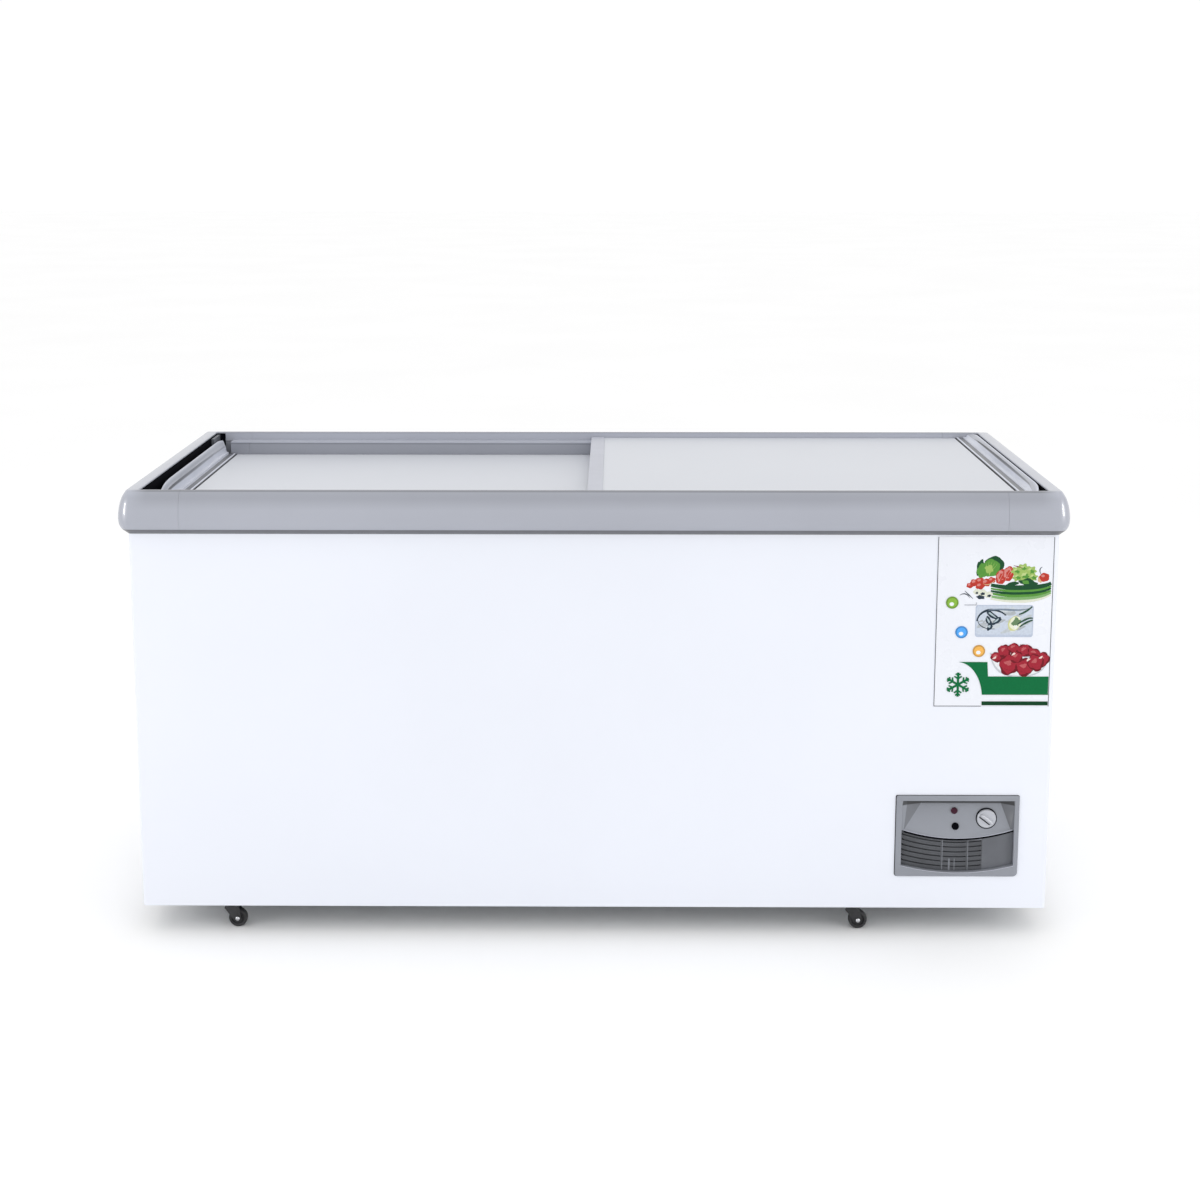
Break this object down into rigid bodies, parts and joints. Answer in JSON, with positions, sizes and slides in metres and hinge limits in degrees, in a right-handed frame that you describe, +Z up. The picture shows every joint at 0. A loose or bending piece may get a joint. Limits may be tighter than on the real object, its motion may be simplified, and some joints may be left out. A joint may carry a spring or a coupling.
{
  "type": "chest freezer",
  "caption": "Long white chest freezer with a stepped grey top frame, overlapping sliding glass lids, a recessed control and air grille panel, and swivel casters.",
  "frame": {"origin": "on the floor under the middle of the cabinet", "axes": "+X to the right along the long side, +Y to the back, +Z up; the front faces -Y"},
  "size_m": [1.9, 0.82, 0.93],
  "materials": {
    "white_paint": "satin",
    "galvanised": "satin",
    "liner_sheet": "satin",
    "foam": "matte",
    "decal_film": "gloss",
    "black_plastic": "matte",
    "grey_frame": "satin",
    "grey_moulding": "satin",
    "light_trim": "satin",
    "rubber": "matte",
    "grille_plastic": "satin",
    "red_lens": "gloss",
    "knob_plastic": "satin",
    "black_enamel": "satin",
    "aluminium_fins": "satin",
    "copper": "satin",
    "lid_glass": "gloss",
    "caster_steel": "satin",
    "caster_tyre": "satin"
  },
  "bodies": {
    "cabinet": {"outer_shell": "white_paint", "back_panel": "white_paint", "base_pan": "galvanised", "inner_liner": "liner_sheet", "insulation_foam": "foam", "front_decal": "decal_film", "rear_vent_grille": "black_plastic", "cord_gland": "black_plastic", "front_rail": "grey_frame", "back_rail": "grey_frame", "left_end_frame": "grey_frame", "right_end_frame": "grey_frame", "left_end_trough": "black_plastic", "right_end_trough": "black_plastic", "left_bumper": "grille_plastic", "right_bumper": "rubber", "panel_bezel": "grey_moulding", "panel_grille": "grille_plastic", "thermostat_body": "galvanised", "indicator_lens": "red_lens", "compressor_tray": "galvanised", "compressor": "black_enamel", "relay_cover": "black_plastic", "condenser": "aluminium_fins", "fan_bracket": "galvanised", "fan_motor": "black_enamel", "evaporator_coil": "copper", "suction_pipe": "copper", "discharge_pipe": "copper", "filter_drier": "copper", "liquid_pipe": "copper", "front_left_caster_plate": "caster_steel", "front_right_caster_plate": "caster_steel", "back_left_caster_plate": "caster_steel", "back_right_caster_plate": "caster_steel"},
    "left_lid": {"left_lid_glass": "lid_glass", "left_lid_gasket": "rubber", "left_lid_handle": "grey_moulding", "left_lid_trim": "light_trim"},
    "right_lid": {"right_lid_glass": "lid_glass", "right_lid_gasket": "rubber", "right_lid_handle": "grey_moulding", "right_lid_trim": "light_trim", "right_lid_wiper": "rubber"},
    "knob": {"control_knob": "knob_plastic"},
    "button": {"push_button": "black_plastic"},
    "fan": {"fan_blades": "black_plastic"},
    "front_left_fork": {"front_left_caster_fork": "black_enamel", "front_left_caster_axle": "caster_steel"},
    "front_left_wheel": {"front_left_caster_wheel": "caster_tyre"},
    "front_right_fork": {"front_right_caster_fork": "black_enamel", "front_right_caster_axle": "caster_steel"},
    "front_right_wheel": {"front_right_caster_wheel": "caster_tyre"},
    "back_left_fork": {"back_left_caster_fork": "black_enamel", "back_left_caster_axle": "caster_steel"},
    "back_left_wheel": {"back_left_caster_wheel": "caster_tyre"},
    "back_right_fork": {"back_right_caster_fork": "black_enamel", "back_right_caster_axle": "caster_steel"},
    "back_right_wheel": {"back_right_caster_wheel": "caster_tyre"}
  },
  "joints": [
    {"name": "left_lid_slide", "type": "slide", "parent": "cabinet", "child": "left_lid", "axis": [1, 0, 0], "range_m": [0, 0.82]},
    {"name": "right_lid_slide", "type": "slide", "parent": "cabinet", "child": "right_lid", "axis": [1, 0, 0], "range_m": [-0.82, 0]},
    {"name": "knob_turn", "type": "hinge", "parent": "cabinet", "child": "knob", "pos_m": [0.8045, -0.38, 0.248], "axis": [0, 1, 0], "range_deg": [-120, 150]},
    {"name": "button_press", "type": "slide", "parent": "cabinet", "child": "button", "axis": [0, 1, 0], "range_m": [0, 0.0025], "stiffness_N_per_m": 400},
    {"name": "fan_spin", "type": "hinge", "parent": "cabinet", "child": "fan", "pos_m": [0.745, -0.27, 0.19], "axis": [0, 1, 0], "continuous": true},
    {"name": "front_left_swivel", "type": "hinge", "parent": "cabinet", "child": "front_left_fork", "pos_m": [-0.757, -0.355, 0.055], "axis": [0, 0, 1], "continuous": true},
    {"name": "front_left_wheel_spin", "type": "hinge", "parent": "front_left_fork", "child": "front_left_wheel", "pos_m": [-0.741, -0.355, 0.0193], "axis": [0, 1, 0], "continuous": true},
    {"name": "front_right_swivel", "type": "hinge", "parent": "cabinet", "child": "front_right_fork", "pos_m": [0.533, -0.355, 0.055], "axis": [0, 0, 1], "continuous": true},
    {"name": "front_right_wheel_spin", "type": "hinge", "parent": "front_right_fork", "child": "front_right_wheel", "pos_m": [0.549, -0.355, 0.0193], "axis": [0, 1, 0], "continuous": true},
    {"name": "back_left_swivel", "type": "hinge", "parent": "cabinet", "child": "back_left_fork", "pos_m": [-0.757, 0.355, 0.055], "axis": [0, 0, 1], "continuous": true},
    {"name": "back_left_wheel_spin", "type": "hinge", "parent": "back_left_fork", "child": "back_left_wheel", "pos_m": [-0.741, 0.355, 0.0193], "axis": [0, 1, 0], "continuous": true},
    {"name": "back_right_swivel", "type": "hinge", "parent": "cabinet", "child": "back_right_fork", "pos_m": [0.533, 0.355, 0.055], "axis": [0, 0, 1], "continuous": true},
    {"name": "back_right_wheel_spin", "type": "hinge", "parent": "back_right_fork", "child": "back_right_wheel", "pos_m": [0.549, 0.355, 0.0193], "axis": [0, 1, 0], "continuous": true}
  ]
}
